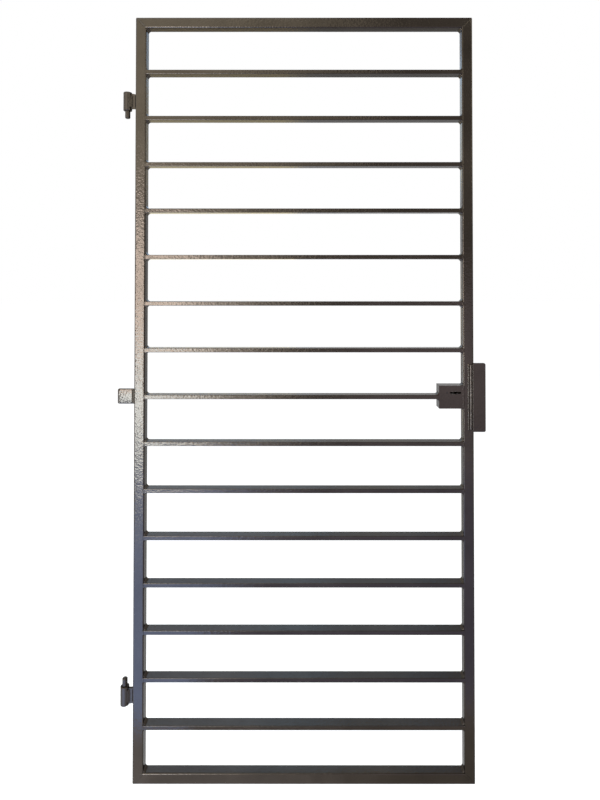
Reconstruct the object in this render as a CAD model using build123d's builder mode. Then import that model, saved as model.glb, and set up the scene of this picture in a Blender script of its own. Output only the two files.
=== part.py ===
from build123d import *
import os

# A single-leaf steel garden gate: a mitred square-tube frame with horizontal bars, two pin hinges,
# a security tab on the hinge side and a key-operated lock box with a guard plate on the lock side.
# Millimetres. The hinge axis is Z, X runs from the hinges to the lock and the front faces -Y.
# The origin is on the hinge axis, on the shoulder that carries the lower pin.

# Leaf and frame tube
LEAF_WIDTH = 800.0
LEAF_HEIGHT = 1800.0
TUBE_SIZE = 25.0
TUBE_WALL = 2.0
TUBE_CORNER = 3.0
CORNER_WELD_LEG = 6.0
# A weld's face passes the corner at this share of its legs: 0.5 is flat, less is concave
WELD_HOLLOW = 0.37

# Horizontal bars, as deep as the frame tube
BAR_COUNT = 15
BAR_HEIGHT = 10.0
BAR_WALL = 1.5
BAR_CORNER = 2.0
BAR_WELD_LEG = 6.0

# Hinges
HINGE_OFFSET = 22.0
HINGE_END_DISTANCE = 220.0
BARREL_DIAMETER = 20.0
BARREL_LENGTH = 44.0
BARREL_CHAMFER = 1.0
PIN_DIAMETER = 12.0
PIN_LENGTH = 18.0
PIN_CHAMFER = 1.5
SHANK_DIAMETER = 9.0
SHANK_LENGTH = 32.0
SHANK_CLEARANCE = 0.05
HINGE_PLATE_THICKNESS = 6.0
HINGE_PLATE_PIN_INSET = 5.0
HINGE_PLATE_FAR_INSET = 1.5
HINGE_PLATE_TAPER = 3.5
HINGE_WELD_LEG = 4.0
HINGE_WELD_ANGLE = 42.0
SEAT_CLEARANCE = 0.05

# Security tab on the hinge stile
TAB_LENGTH = 42.0
TAB_HEIGHT = 36.0
TAB_THICKNESS = 6.0
TAB_CORNER = 4.0
TAB_EDGE = 1.2
TAB_WELD_LEG = 6.0

# Guard plate in front of the bolt
GUARD_WIDTH = 30.5
GUARD_HEIGHT = 161.0
GUARD_THICKNESS = 5.0
GUARD_OVERLAP = 4.0
GUARD_CORNER = 4.0
GUARD_EDGE = 1.2
GUARD_WELD_LEG = 6.0
GUARD_WELD_RISE = 4.2

# Lock box
BOX_WIDTH = 57.0
BOX_HEIGHT = 54.0
BOX_PROUD = 5.0
BOX_WALL = 2.5
BOX_EDGE = 1.0
BOX_WELD_LEG = 4.0
COVER_THICKNESS = 2.5
COVER_LAP = 8.0
PILLAR_DIAMETER = 6.4
PILLAR_MARGIN = 0.4
SCREW_DIAMETER = 3.2
SCREW_LENGTH = 10.0
SCREW_HEAD_DIAMETER = 6.4
SCREW_CLEARANCE = 0.05

# Keyhole, for a key with two opposite bits
KEY_BACKSET = 18.0
KEY_RISE = 10.0
KEY_SLOT_LENGTH = 27.0
KEY_SLOT_HEIGHT = 4.6
KEY_HUB_DIAMETER = 7.4

# Bolt
BOLT_THROW = 18.0
BOLT_HEIGHT = 20.0
BOLT_THICKNESS = 10.0
BOLT_BELOW_KEY = 10.0
BOLT_TAIL = 7.0
BOLT_SET_BACK = 0.5
BOLT_CLEARANCE = 0.35
BOLT_CHAMFER = 1.0
TALON_WIDTH = 4.6
TALON_DEPTH = 4.0
STUMP_WIDTH = 4.0
STUMP_HEIGHT = 5.0
STUMP_DROP = 10.0
GUIDE_WALL = 2.0

# Levers, which slide down on two posts when the key turns
LEVER_THICKNESS = 1.6
LEVER_DROP = 4.0
LEVER_BELLIES = (10.5, 10.0, 11.0)
LEVER_ARM_WIDTH = 10.0
LEVER_ARM_RISE = 8.0
LEVER_RIM = 3.0
LEVER_SIDE_CLEARANCE = 0.4
GATE_NECK = 1.5
GATE_CLEARANCE = 0.35
POCKET_CLEARANCE = 0.6
POST_SPACING = 22.0
POST_BACKSET = 20.0
POST_DIAMETER = 4.0
POST_CLEARANCE = 0.3
POST_SPIGOT_DIAMETER = 3.0
POST_SPIGOT_LENGTH = 1.2
COLLAR_DIAMETER = 7.0
SPRING_THICKNESS = 0.5
SPRING_WIDTH = 1.2
SPRING_FOOT = 7.0
SPRING_GAP = 0.3

# Places that follow from the sizes
HALF_DEPTH = TUBE_SIZE / 2
HINGE_STILE_OUT = HINGE_OFFSET
HINGE_STILE_IN = HINGE_STILE_OUT + TUBE_SIZE
LOCK_STILE_OUT = HINGE_STILE_OUT + LEAF_WIDTH
LOCK_STILE_IN = LOCK_STILE_OUT - TUBE_SIZE
LEAF_BOTTOM = -HINGE_END_DISTANCE
LEAF_TOP = LEAF_BOTTOM + LEAF_HEIGHT
UPPER_SHOULDER = LEAF_TOP - HINGE_END_DISTANCE
BAR_GAP = (LEAF_HEIGHT - 2 * TUBE_SIZE - BAR_COUNT * BAR_HEIGHT) / (BAR_COUNT + 1)
BAR_PITCH = BAR_GAP + BAR_HEIGHT
BAR_TOP_Z = LEAF_TOP - TUBE_SIZE - BAR_GAP - BAR_HEIGHT / 2
BAR_Z = [BAR_TOP_Z - BAR_PITCH * i for i in range(BAR_COUNT)]
LOCK_BAR = BAR_COUNT // 2
LOCK_Z = BAR_Z[LOCK_BAR]
BOX_LEFT = LOCK_STILE_IN - BOX_WIDTH
BOX_BOTTOM = LOCK_Z - BOX_HEIGHT / 2
BOX_TOP = LOCK_Z + BOX_HEIGHT / 2
BOX_DEPTH = TUBE_SIZE + BOX_PROUD
BOX_INSIDE = -HALF_DEPTH + BOX_WALL
COVER_INSIDE = -HALF_DEPTH + BOX_DEPTH - COVER_THICKNESS
COVER_OUTSIDE = -HALF_DEPTH + BOX_DEPTH
KEY_X = LOCK_STILE_IN - KEY_BACKSET
KEY_Z = LOCK_Z + KEY_RISE
BOLT_TOP = KEY_Z - BOLT_BELOW_KEY
BOLT_BOTTOM = BOLT_TOP - BOLT_HEIGHT
BOLT_END = LOCK_STILE_OUT - BOLT_SET_BACK
TALON_X = KEY_X - BOLT_THROW / 2
BOLT_START = TALON_X - BOLT_TAIL
STUMP_Z = BOLT_TOP - STUMP_DROP
SLOT_HEIGHT = BOLT_HEIGHT + 2 * BOLT_CLEARANCE
SLOT_DEPTH = BOLT_THICKNESS + 2 * BOLT_CLEARANCE
BOLT_MID_Z = BOLT_TOP - BOLT_HEIGHT / 2
LEVER_Y = BOLT_THICKNESS / 2 + LEVER_SIDE_CLEARANCE
LEVER_PACK = LEVER_THICKNESS * len(LEVER_BELLIES)
LEVER_BACK = LEVER_Y + LEVER_PACK
POST_X = KEY_X - POST_BACKSET
POST_Z = (KEY_Z, KEY_Z - POST_SPACING)
POCKET_HALF = (BOLT_THROW + STUMP_WIDTH) / 2 + POCKET_CLEARANCE
POCKET_BOTTOM = STUMP_Z - STUMP_HEIGHT / 2 - POCKET_CLEARANCE
POCKET_TOP = STUMP_Z + LEVER_DROP + STUMP_HEIGHT / 2 + POCKET_CLEARANCE
GATE_Z = STUMP_Z + LEVER_DROP / 2
GATE_SWAY = LEVER_DROP * (STUMP_WIDTH + GATE_NECK) / (2 * BOLT_THROW)
GATE_HEIGHT = STUMP_HEIGHT + 2 * GATE_SWAY + 2 * GATE_CLEARANCE
LEVER_BOTTOM = POCKET_BOTTOM - LEVER_RIM
LEVER_LEFT = POST_X - LEVER_ARM_WIDTH / 2
LEVER_RIGHT = KEY_X + POCKET_HALF + LEVER_RIM
POST_SLOT_WIDTH = POST_DIAMETER + 2 * POST_CLEARANCE
POST_SLOT_LENGTH = POST_SLOT_WIDTH + LEVER_DROP
BOX_FLOOR = BOX_BOTTOM + BOX_WALL
PILLAR_INSET = BOX_WALL + PILLAR_MARGIN + PILLAR_DIAMETER / 2
PILLARS = (
    (BOX_LEFT + PILLAR_INSET, BOX_TOP - PILLAR_INSET),
    (BOX_LEFT + PILLAR_INSET, BOX_BOTTOM + PILLAR_INSET),
    (LOCK_STILE_IN - PILLAR_MARGIN - PILLAR_DIAMETER / 2, BOX_TOP - PILLAR_INSET),
)

os.makedirs("parts", exist_ok=True)


def front_plane(y):
    """A plane seen from the front, with X to the right and Z up, at depth y."""
    return Plane(origin=(0, y, 0), x_dir=(1, 0, 0), z_dir=(0, -1, 0))


def concave_weld(x, z, dx, dz, leg_x, leg_z):
    """The face of a concave fillet weld in the corner x, z, reaching along dx and dz."""
    toe = (x + dx * leg_x, z)
    crown = (x, z + dz * leg_z)
    with BuildLine() as outline:
        Polyline(crown, (x, z), toe)
        ThreePointArc(toe, (x + dx * leg_x * WELD_HOLLOW, z + dz * leg_z * WELD_HOLLOW), crown)
    make_face(outline.edges())


def save(piece, name):
    piece.part.label = name
    export_step(piece.part, f"parts/{name}.step")


def tube_section(size_x, size_y, wall, corner):
    """A tube's section with rounded corners, in the sketch that is open."""
    RectangleRounded(size_x, size_y, corner)
    RectangleRounded(
        size_x - 2 * wall, size_y - 2 * wall, max(corner - wall, wall / 4), mode=Mode.SUBTRACT
    )


# Frame: each member runs to the outer corners and is cut at 45 degrees to meet the next one
MITRES = {
    "bottom_hinge": Plane((HINGE_STILE_OUT, 0, LEAF_BOTTOM), x_dir=(0, 1, 0), z_dir=(1, 0, -1)),
    "top_hinge": Plane((HINGE_STILE_OUT, 0, LEAF_TOP), x_dir=(0, 1, 0), z_dir=(1, 0, 1)),
    "bottom_lock": Plane((LOCK_STILE_OUT, 0, LEAF_BOTTOM), x_dir=(0, 1, 0), z_dir=(-1, 0, -1)),
    "top_lock": Plane((LOCK_STILE_OUT, 0, LEAF_TOP), x_dir=(0, 1, 0), z_dir=(-1, 0, 1)),
}

with BuildPart() as hinge_stile:
    with BuildSketch(Plane((HINGE_STILE_OUT + TUBE_SIZE / 2, 0, LEAF_BOTTOM))):
        tube_section(TUBE_SIZE, TUBE_SIZE, TUBE_WALL, TUBE_CORNER)
    extrude(amount=LEAF_HEIGHT)
    split(bisect_by=MITRES["bottom_hinge"], keep=Keep.BOTTOM)
    split(bisect_by=MITRES["top_hinge"], keep=Keep.BOTTOM)
save(hinge_stile, "hinge_stile")

with BuildPart() as lock_stile:
    with BuildSketch(Plane((LOCK_STILE_IN + TUBE_SIZE / 2, 0, LEAF_BOTTOM))):
        tube_section(TUBE_SIZE, TUBE_SIZE, TUBE_WALL, TUBE_CORNER)
    extrude(amount=LEAF_HEIGHT)
    split(bisect_by=MITRES["bottom_lock"], keep=Keep.BOTTOM)
    split(bisect_by=MITRES["top_lock"], keep=Keep.BOTTOM)
    with BuildSketch(Plane((LOCK_STILE_IN, 0, BOLT_MID_Z), x_dir=(0, 1, 0), z_dir=(1, 0, 0))):
        Rectangle(SLOT_DEPTH, SLOT_HEIGHT)
    extrude(amount=TUBE_SIZE, mode=Mode.SUBTRACT)
save(lock_stile, "lock_stile")

for rail_name, rail_z, mitre_ends in (
    ("top_rail", LEAF_TOP - TUBE_SIZE / 2, ("top_hinge", "top_lock")),
    ("bottom_rail", LEAF_BOTTOM + TUBE_SIZE / 2, ("bottom_hinge", "bottom_lock")),
):
    with BuildPart() as rail:
        with BuildSketch(Plane((HINGE_STILE_OUT, 0, rail_z), x_dir=(0, 1, 0), z_dir=(1, 0, 0))):
            tube_section(TUBE_SIZE, TUBE_SIZE, TUBE_WALL, TUBE_CORNER)
        extrude(amount=LEAF_WIDTH)
        for mitre_end in mitre_ends:
            split(bisect_by=MITRES[mitre_end], keep=Keep.TOP)
    save(rail, rail_name)

# Welds in the inner corners of the frame
with BuildPart() as corner_welds:
    with BuildSketch(front_plane(0)):
        for corner_x, side_x in ((HINGE_STILE_IN, 1), (LOCK_STILE_IN, -1)):
            for corner_z, side_z in ((LEAF_BOTTOM + TUBE_SIZE, 1), (LEAF_TOP - TUBE_SIZE, -1)):
                concave_weld(corner_x, corner_z, side_x, side_z, CORNER_WELD_LEG, CORNER_WELD_LEG)
    extrude(amount=HALF_DEPTH - TUBE_CORNER, both=True)
save(corner_welds, "corner_welds")

# Bars from stile to stile, except the middle one, which ends at the lock box
for bar_index, bar_z in enumerate(BAR_Z):
    bar_end = BOX_LEFT if bar_index == LOCK_BAR else LOCK_STILE_IN
    with BuildPart() as bar:
        with BuildSketch(Plane((HINGE_STILE_IN, 0, bar_z), x_dir=(0, 1, 0), z_dir=(1, 0, 0))):
            tube_section(TUBE_SIZE, BAR_HEIGHT, BAR_WALL, BAR_CORNER)
        extrude(amount=bar_end - HINGE_STILE_IN)
    save(bar, f"bar_{bar_index + 1:02d}")

with BuildPart() as bar_welds_hinge_side:
    with BuildSketch(front_plane(0)):
        for bar_z in BAR_Z:
            for side_z in (-1, 1):
                weld_z = bar_z + side_z * BAR_HEIGHT / 2
                concave_weld(HINGE_STILE_IN, weld_z, 1, side_z, BAR_WELD_LEG, BAR_WELD_LEG)
    extrude(amount=HALF_DEPTH - TUBE_CORNER, both=True)
save(bar_welds_hinge_side, "bar_welds_hinge_side")

with BuildPart() as bar_welds_lock_side:
    with BuildSketch(front_plane(0)):
        for bar_index, bar_z in enumerate(BAR_Z):
            weld_x = BOX_LEFT if bar_index == LOCK_BAR else LOCK_STILE_IN
            for side_z in (-1, 1):
                weld_z = bar_z + side_z * BAR_HEIGHT / 2
                concave_weld(weld_x, weld_z, -1, side_z, BAR_WELD_LEG, BAR_WELD_LEG)
    extrude(amount=HALF_DEPTH - TUBE_CORNER, both=True)
save(bar_welds_lock_side, "bar_welds_lock_side")

# Hinges: the upper pin points down and carries the leaf, the lower one points up and keeps it from
# being lifted off
for level, shoulder, way in (("upper", UPPER_SHOULDER, -1), ("lower", 0.0, 1)):
    profile_plane = Plane(origin=(0, 0, shoulder), x_dir=(1, 0, 0), z_dir=(0, -way, 0))
    barrel_radius = BARREL_DIAMETER / 2
    bore_radius = SHANK_DIAMETER / 2 + SHANK_CLEARANCE
    bore_depth = SHANK_LENGTH + SHANK_CLEARANCE
    pin_radius = PIN_DIAMETER / 2

    with BuildPart() as hinge_barrel:
        with BuildSketch(profile_plane):
            with BuildLine():
                Polyline(
                    (bore_radius, 0),
                    (barrel_radius - BARREL_CHAMFER, 0),
                    (barrel_radius, -BARREL_CHAMFER),
                    (barrel_radius, BARREL_CHAMFER - BARREL_LENGTH),
                    (barrel_radius - BARREL_CHAMFER, -BARREL_LENGTH),
                    (0, -BARREL_LENGTH),
                    (0, -bore_depth),
                    (bore_radius, -bore_depth),
                    close=True,
                )
            make_face()
        revolve(axis=Axis.Z)
    save(hinge_barrel, f"{level}_hinge_barrel")

    with BuildPart() as hinge_pin:
        with BuildSketch(profile_plane):
            with BuildLine():
                Polyline(
                    (0, PIN_LENGTH),
                    (pin_radius - PIN_CHAMFER, PIN_LENGTH),
                    (pin_radius, PIN_LENGTH - PIN_CHAMFER),
                    (pin_radius, 0),
                    (SHANK_DIAMETER / 2, 0),
                    (SHANK_DIAMETER / 2, -SHANK_LENGTH),
                    (0, -SHANK_LENGTH),
                    close=True,
                )
            make_face()
        revolve(axis=Axis.Z)
    save(hinge_pin, f"{level}_hinge_pin")

    plate_near = -HINGE_PLATE_PIN_INSET
    plate_far = HINGE_PLATE_FAR_INSET - BARREL_LENGTH
    seat_radius = barrel_radius + SEAT_CLEARANCE
    with BuildPart() as hinge_plate:
        with BuildSketch(profile_plane):
            with BuildLine():
                Polyline(
                    (0, plate_near),
                    (HINGE_OFFSET, plate_near),
                    (HINGE_OFFSET, plate_far + HINGE_PLATE_TAPER),
                    (0, plate_far),
                    close=True,
                )
            make_face()
        extrude(amount=HINGE_PLATE_THICKNESS / 2, both=True)
        with BuildSketch(Plane.XY.offset(shoulder)):
            Circle(seat_radius)
        extrude(amount=-way * BARREL_LENGTH, mode=Mode.SUBTRACT)
    save(hinge_plate, f"{level}_hinge_plate")

    # Four upright beads, on both faces of the plate at the barrel and at the stile
    seam = HINGE_PLATE_THICKNESS / 2
    bead_near = shoulder + way * (plate_near - HINGE_WELD_LEG / 2)
    bead_length = plate_near - plate_far - HINGE_PLATE_TAPER - HINGE_WELD_LEG
    root_x = (seat_radius ** 2 - seam ** 2) ** 0.5
    crown_point = Vector(seat_radius, 0).rotate(Axis.Z, HINGE_WELD_ANGLE)
    with BuildPart() as hinge_welds:
        with BuildSketch(Plane.XY.offset(bead_near)):
            for side in (-1, 1):
                concave_weld(HINGE_OFFSET, side * seam, -1, side, HINGE_WELD_LEG, HINGE_WELD_LEG)
                with BuildLine():
                    Line((root_x, side * seam), (root_x + HINGE_WELD_LEG, side * seam))
                    Line(
                        (root_x + HINGE_WELD_LEG, side * seam),
                        (crown_point.X, side * crown_point.Y),
                    )
                    RadiusArc(
                        (crown_point.X, side * crown_point.Y),
                        (root_x, side * seam),
                        side * seat_radius,
                    )
                make_face()
        extrude(amount=-way * bead_length)
    save(hinge_welds, f"{level}_hinge_welds")

# Security tab: a plate that reaches behind the gate post, welded at mid-depth
with BuildPart() as security_tab:
    with BuildSketch(front_plane(0)) as tab_sketch:
        with Locations((HINGE_STILE_OUT - TAB_LENGTH / 2, LOCK_Z)):
            Rectangle(TAB_LENGTH, TAB_HEIGHT)
        fillet(tab_sketch.vertices().group_by(Axis.X)[0], TAB_CORNER)
    extrude(amount=TAB_THICKNESS / 2, both=True)
    tab_rims = [
        edge
        for face in (security_tab.faces().sort_by(Axis.Y)[0], security_tab.faces().sort_by(Axis.Y)[-1])
        for edge in face.edges().sort_by(Axis.X)[:-1]
    ]
    fillet(tab_rims, TAB_EDGE)
save(security_tab, "security_tab")

with BuildPart() as security_tab_welds:
    with BuildSketch(Plane.XY.offset(LOCK_Z)):
        for side in (-1, 1):
            concave_weld(HINGE_STILE_OUT, side * TAB_THICKNESS / 2, -1, side, TAB_WELD_LEG, TAB_WELD_LEG)
    extrude(amount=TAB_HEIGHT / 2 - TAB_EDGE, both=True)
save(security_tab_welds, "security_tab_welds")

# Guard plate: flat bar on the front of the lock stile, over the gap that the bolt crosses
GUARD_LEFT = LOCK_STILE_OUT - GUARD_OVERLAP
with BuildPart() as guard_plate:
    with BuildSketch(front_plane(-HALF_DEPTH)):
        with Locations((GUARD_LEFT + GUARD_WIDTH / 2, LOCK_Z)):
            RectangleRounded(GUARD_WIDTH, GUARD_HEIGHT, GUARD_CORNER)
    extrude(amount=GUARD_THICKNESS)
    fillet(guard_plate.faces().sort_by(Axis.Y)[0].edges(), GUARD_EDGE)
save(guard_plate, "guard_plate")

with BuildPart() as guard_plate_weld:
    with BuildSketch(Plane.XY.offset(LOCK_Z)):
        rise = min(GUARD_WELD_RISE, GUARD_THICKNESS - GUARD_EDGE)
        concave_weld(GUARD_LEFT, -HALF_DEPTH, -1, -1, GUARD_WELD_LEG, rise)
    extrude(amount=GUARD_HEIGHT / 2 - GUARD_CORNER, both=True)
save(guard_plate_weld, "guard_plate_weld")


def keyhole():
    """The keyhole's outline in the sketch that is open: a flat slot with a round middle."""
    with Locations((KEY_X, KEY_Z)):
        SlotOverall(KEY_SLOT_LENGTH, KEY_SLOT_HEIGHT)
        Circle(KEY_HUB_DIAMETER / 2)


# Lock box: folded steel, open to the stile and to the back cover
with BuildPart() as lock_box_shell:
    with BuildSketch(front_plane(-HALF_DEPTH)):
        with Locations((BOX_LEFT + BOX_WIDTH / 2, LOCK_Z)):
            Rectangle(BOX_WIDTH, BOX_HEIGHT)
    extrude(amount=COVER_THICKNESS - BOX_DEPTH)
    fillet(lock_box_shell.edges().filter_by(Axis.Y).group_by(Axis.X)[0], BOX_EDGE)
    offset(
        amount=-BOX_WALL,
        openings=[lock_box_shell.faces().sort_by(Axis.Y)[-1], lock_box_shell.faces().sort_by(Axis.X)[-1]],
    )
    with BuildSketch(front_plane(-HALF_DEPTH)):
        keyhole()
        with Locations((POST_X, POST_Z[0])):
            Circle(POST_SPIGOT_DIAMETER / 2 + SEAT_CLEARANCE)
    extrude(amount=-BOX_WALL, mode=Mode.SUBTRACT)
save(lock_box_shell, "lock_box_shell")

with BuildPart() as lock_box_welds:
    with BuildSketch(front_plane(0)):
        for weld_z, side_z in ((BOX_TOP, 1), (BOX_BOTTOM, -1)):
            concave_weld(LOCK_STILE_IN, weld_z, -1, side_z, BOX_WELD_LEG, BOX_WELD_LEG)
    extrude(amount=HALF_DEPTH - TUBE_CORNER, both=True)
save(lock_box_welds, "lock_box_welds")

# Back cover: its lip laps onto the stile, whose back lies a little deeper than the box's
with BuildPart() as lock_back_cover:
    with BuildSketch(front_plane(COVER_OUTSIDE)):
        with Locations((BOX_LEFT + (BOX_WIDTH + COVER_LAP) / 2, LOCK_Z)):
            Rectangle(BOX_WIDTH + COVER_LAP, BOX_HEIGHT)
    extrude(amount=COVER_THICKNESS)
    with BuildSketch(front_plane(COVER_INSIDE)):
        with Locations((LOCK_STILE_IN + COVER_LAP / 2, LOCK_Z)):
            Rectangle(COVER_LAP, BOX_HEIGHT)
    extrude(amount=COVER_INSIDE - HALF_DEPTH - SEAT_CLEARANCE)
    with BuildSketch(front_plane(COVER_OUTSIDE)):
        keyhole()
    extrude(amount=COVER_THICKNESS, mode=Mode.SUBTRACT)
    with Locations(*[Plane((x, COVER_OUTSIDE, z), z_dir=(0, 1, 0)) for x, z in PILLARS]):
        CounterSinkHole(
            radius=SCREW_DIAMETER / 2 + SCREW_CLEARANCE,
            counter_sink_radius=SCREW_HEAD_DIAMETER / 2 + SCREW_CLEARANCE,
            depth=COVER_THICKNESS,
            counter_sink_angle=90,
        )
save(lock_back_cover, "lock_back_cover")

with BuildPart() as cover_pillars:
    with BuildSketch(front_plane(COVER_INSIDE)):
        with Locations(*PILLARS):
            Circle(PILLAR_DIAMETER / 2)
    extrude(amount=COVER_INSIDE - BOX_INSIDE)
    with BuildSketch(front_plane(COVER_INSIDE)):
        with Locations(*PILLARS):
            Circle(SCREW_DIAMETER / 2 + SCREW_CLEARANCE)
    extrude(amount=SCREW_LENGTH, mode=Mode.SUBTRACT)
save(cover_pillars, "cover_pillars")

with BuildPart() as cover_screws:
    for x, z in PILLARS:
        with BuildSketch(Plane((x, COVER_OUTSIDE, z), x_dir=(1, 0, 0), z_dir=(0, 0, 1))):
            with BuildLine():
                Polyline(
                    (0, 0),
                    (SCREW_HEAD_DIAMETER / 2 - SCREW_CLEARANCE, 0),
                    (SCREW_DIAMETER / 2, (SCREW_DIAMETER - SCREW_HEAD_DIAMETER) / 2 + SCREW_CLEARANCE),
                    (SCREW_DIAMETER / 2, SCREW_CLEARANCE - SCREW_LENGTH),
                    (0, SCREW_CLEARANCE - SCREW_LENGTH),
                    close=True,
                )
            make_face()
        revolve(axis=Axis((x, COVER_OUTSIDE, z), (0, 1, 0)))
save(cover_screws, "cover_screws")

# Bolt guide: a sleeve that fills the stile between its two bolt slots
with BuildPart() as bolt_guide:
    with BuildSketch(
        Plane((LOCK_STILE_IN + TUBE_WALL, 0, BOLT_MID_Z), x_dir=(0, 1, 0), z_dir=(1, 0, 0))
    ):
        Rectangle(SLOT_DEPTH + 2 * GUIDE_WALL, SLOT_HEIGHT + 2 * GUIDE_WALL)
        Rectangle(SLOT_DEPTH, SLOT_HEIGHT, mode=Mode.SUBTRACT)
    extrude(amount=TUBE_SIZE - 2 * TUBE_WALL)
save(bolt_guide, "bolt_guide")

# Deadbolt, drawn back: the key's bit enters the notch on top, and the stump on the back face runs
# through the gates of the levers
with BuildPart() as deadbolt:
    with BuildSketch(front_plane(0)):
        with Locations(((BOLT_START + BOLT_END) / 2, BOLT_MID_Z)):
            Rectangle(BOLT_END - BOLT_START, BOLT_HEIGHT)
        with Locations((TALON_X, BOLT_TOP - TALON_DEPTH / 2)):
            Rectangle(TALON_WIDTH, TALON_DEPTH, mode=Mode.SUBTRACT)
    extrude(amount=BOLT_THICKNESS / 2, both=True)
    chamfer(deadbolt.faces().sort_by(Axis.X)[-1].edges(), BOLT_CHAMFER)
    with BuildSketch(front_plane(BOLT_THICKNESS / 2)):
        with Locations((TALON_X, STUMP_Z)):
            Rectangle(STUMP_WIDTH, STUMP_HEIGHT)
    extrude(amount=-(LEVER_SIDE_CLEARANCE + LEVER_PACK))
save(deadbolt, "deadbolt")

# Levers: each has its own belly for the key and a gate between two pockets for the stump
for lever_index, belly in enumerate(LEVER_BELLIES):
    belly_z = KEY_Z - belly
    with BuildPart() as lever:
        with BuildSketch(front_plane(LEVER_Y + LEVER_THICKNESS * lever_index)):
            with Locations(((LEVER_LEFT + LEVER_RIGHT) / 2, (LEVER_BOTTOM + belly_z) / 2)):
                Rectangle(LEVER_RIGHT - LEVER_LEFT, belly_z - LEVER_BOTTOM)
            arm_top = KEY_Z + LEVER_ARM_RISE
            with Locations((POST_X, (LEVER_BOTTOM + arm_top) / 2)):
                Rectangle(LEVER_ARM_WIDTH, arm_top - LEVER_BOTTOM)
            for post_z in POST_Z:
                with Locations((POST_X, post_z + LEVER_DROP / 2)):
                    SlotOverall(POST_SLOT_LENGTH, POST_SLOT_WIDTH, rotation=90, mode=Mode.SUBTRACT)
            pocket = POCKET_HALF - GATE_NECK / 2
            for side in (-1, 1):
                pocket_x = KEY_X + side * (GATE_NECK / 2 + pocket / 2)
                with Locations((pocket_x, (POCKET_BOTTOM + POCKET_TOP) / 2)):
                    Rectangle(pocket, POCKET_TOP - POCKET_BOTTOM, mode=Mode.SUBTRACT)
            with Locations((KEY_X, GATE_Z)):
                Rectangle(2 * GATE_NECK, GATE_HEIGHT, mode=Mode.SUBTRACT)
        extrude(amount=-LEVER_THICKNESS)
    save(lever, f"lever_{lever_index + 1}")

# Posts that guide the levers: a collar in front, a thin neck through the levers
with BuildPart() as lever_posts:
    with BuildSketch(front_plane(BOX_INSIDE)):
        with Locations(*[(POST_X, post_z) for post_z in POST_Z]):
            Circle(COLLAR_DIAMETER / 2)
    extrude(amount=-(LEVER_Y - POST_CLEARANCE - BOX_INSIDE))
    with BuildSketch(front_plane(BOX_INSIDE)):
        with Locations(*[(POST_X, post_z) for post_z in POST_Z]):
            Circle(POST_DIAMETER / 2)
    extrude(amount=-(COVER_INSIDE - BOX_INSIDE))
    with BuildSketch(front_plane(BOX_INSIDE)):
        with Locations((POST_X, POST_Z[0])):
            Circle(POST_SPIGOT_DIAMETER / 2)
    extrude(amount=POST_SPIGOT_LENGTH)
save(lever_posts, "lever_posts")

with BuildPart() as lever_spacers:
    with BuildSketch(front_plane(COVER_INSIDE)):
        with Locations(*[(POST_X, post_z) for post_z in POST_Z]):
            Circle(COLLAR_DIAMETER / 2)
            Circle(POST_DIAMETER / 2 + SEAT_CLEARANCE, mode=Mode.SUBTRACT)
    extrude(amount=COVER_INSIDE - LEVER_BACK - POST_CLEARANCE)
save(lever_spacers, "lever_spacers")

# Lever spring: a comb on the floor of the box with one finger under each lever
SPRING_TIP = LEVER_BOTTOM - SPRING_GAP
SPRING_ROOT = TALON_X
SPRING_REACH = LEVER_RIGHT - 2 * LEVER_RIM
with BuildPart() as lever_spring:
    with BuildSketch(front_plane(LEVER_Y)):
        with Locations((SPRING_ROOT - SPRING_FOOT / 2, BOX_FLOOR + SPRING_THICKNESS / 2)):
            Rectangle(SPRING_FOOT, SPRING_THICKNESS)
    extrude(amount=-LEVER_PACK)
    for lever_index in range(len(LEVER_BELLIES)):
        finger_y = LEVER_Y + LEVER_THICKNESS * lever_index + (LEVER_THICKNESS - SPRING_WIDTH) / 2
        with BuildSketch(front_plane(finger_y)):
            with BuildLine():
                Polyline(
                    (SPRING_ROOT - SPRING_FOOT, BOX_FLOOR),
                    (SPRING_ROOT, BOX_FLOOR),
                    (SPRING_REACH, SPRING_TIP - SPRING_THICKNESS),
                    (SPRING_REACH + LEVER_RIM, SPRING_TIP - SPRING_THICKNESS),
                    (SPRING_REACH + LEVER_RIM, SPRING_TIP),
                    (SPRING_REACH, SPRING_TIP),
                    (SPRING_ROOT - SPRING_THICKNESS, BOX_FLOOR + SPRING_THICKNESS),
                    (SPRING_ROOT - SPRING_FOOT, BOX_FLOOR + SPRING_THICKNESS),
                    close=True,
                )
            make_face()
        extrude(amount=-SPRING_WIDTH)
save(lever_spring, "lever_spring")
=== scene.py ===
"""Garden gate leaf: a welded square-tube frame with flat-tube bars, pin hinges,
a security tab, a guard plate and a lock box, in hammer-finish bronze paint."""

import math

import bmesh
import bpy
from mathutils import Matrix, Vector


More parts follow.
